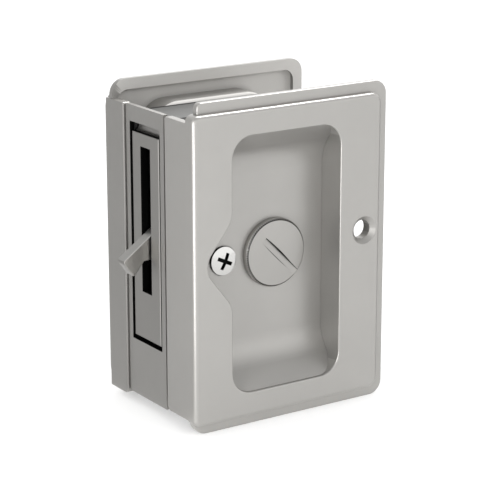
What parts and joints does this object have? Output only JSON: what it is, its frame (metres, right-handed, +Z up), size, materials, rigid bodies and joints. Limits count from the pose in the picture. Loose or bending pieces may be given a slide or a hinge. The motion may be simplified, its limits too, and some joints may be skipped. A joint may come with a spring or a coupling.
{
  "type": "pocket door lock",
  "caption": "Adjustable pocket door lock with flush finger cups, a hook bolt thrown by a thumb turn or coin turn, and a swinging pull in its edge.",
  "frame": {"origin": "centre of the door's notch at the door's edge, midway between the two door faces", "axes": "+X into the door, +Y from the coin turn's side through the door to the thumb turn's side, +Z up"},
  "size_m": [0.0646, 0.0422, 0.0826],
  "materials": {
    "cover_nickel": "cast, satin nickel plated",
    "edge_nickel": "satin nickel plated strip",
    "pull_nickel": "satin nickel plated",
    "hook_steel": "nickel plated",
    "turn_nickel": "turned, satin nickel plated",
    "screw_nickel": "bright plated",
    "case_steel": "zinc plated",
    "pin_steel": "ground",
    "spring_steel": "blued",
    "bush_brass": "turned"
  },
  "bodies": {
    "front_half": {"front_cover": "cover_nickel", "edge_plate": "edge_nickel", "front_cheek": "case_steel", "back_cheek": "case_steel", "case_band": "case_steel", "case_pillars": "case_steel", "hook_stop_pins": "pin_steel", "case_screws": "case_steel", "front_standoff": "case_steel", "back_standoff": "case_steel", "front_clamp_screw": "screw_nickel", "edge_pull_pin": "pin_steel", "edge_pull_drag_spring": "spring_steel", "spring_pillar": "case_steel", "front_hub_bush": "bush_brass", "back_hub_bush": "bush_brass", "coin_turn_washer": "spring_steel"},
    "back_half": {"back_cover": "cover_nickel", "back_clamp_screw": "screw_nickel", "thumb_turn_washer": "spring_steel"},
    "hook_set": {"hook_lever": "hook_steel", "hook_hub": "pin_steel", "hub_collar": "bush_brass", "coin_turn": "turn_nickel", "coin_turn_clip": "spring_steel"},
    "thumb_set": {"thumb_turn": "turn_nickel", "thumb_spindle": "pin_steel", "thumb_turn_clip": "spring_steel"},
    "pull_set": {"edge_pull": "pull_nickel"}
  },
  "joints": [
    {"name": "thickness_adjust", "type": "slide", "parent": "front_half", "child": "back_half", "axis": [0, 1, 0], "range_m": [0, 0.00953]},
    {"name": "hook_turn", "type": "hinge", "parent": "front_half", "child": "hook_set", "pos_m": [0.028, 0, 0], "axis": [0, 1, 0], "range_deg": [0, 44.3]},
    {"name": "thumb_turn_spin", "type": "hinge", "parent": "back_half", "child": "thumb_set", "pos_m": [0.028, 0, 0], "axis": [0, 1, 0], "range_deg": [-3, 48]},
    {"name": "edge_pull_swing", "type": "hinge", "parent": "front_half", "child": "pull_set", "pos_m": [0.0048, 0.00224, 0.0292], "axis": [0, 1, 0], "range_deg": [0, 45]}
  ],
  "couplings": [
    {"joint": "thumb_turn_spin", "follows": "hook_turn", "ratio": 1}
  ]
}
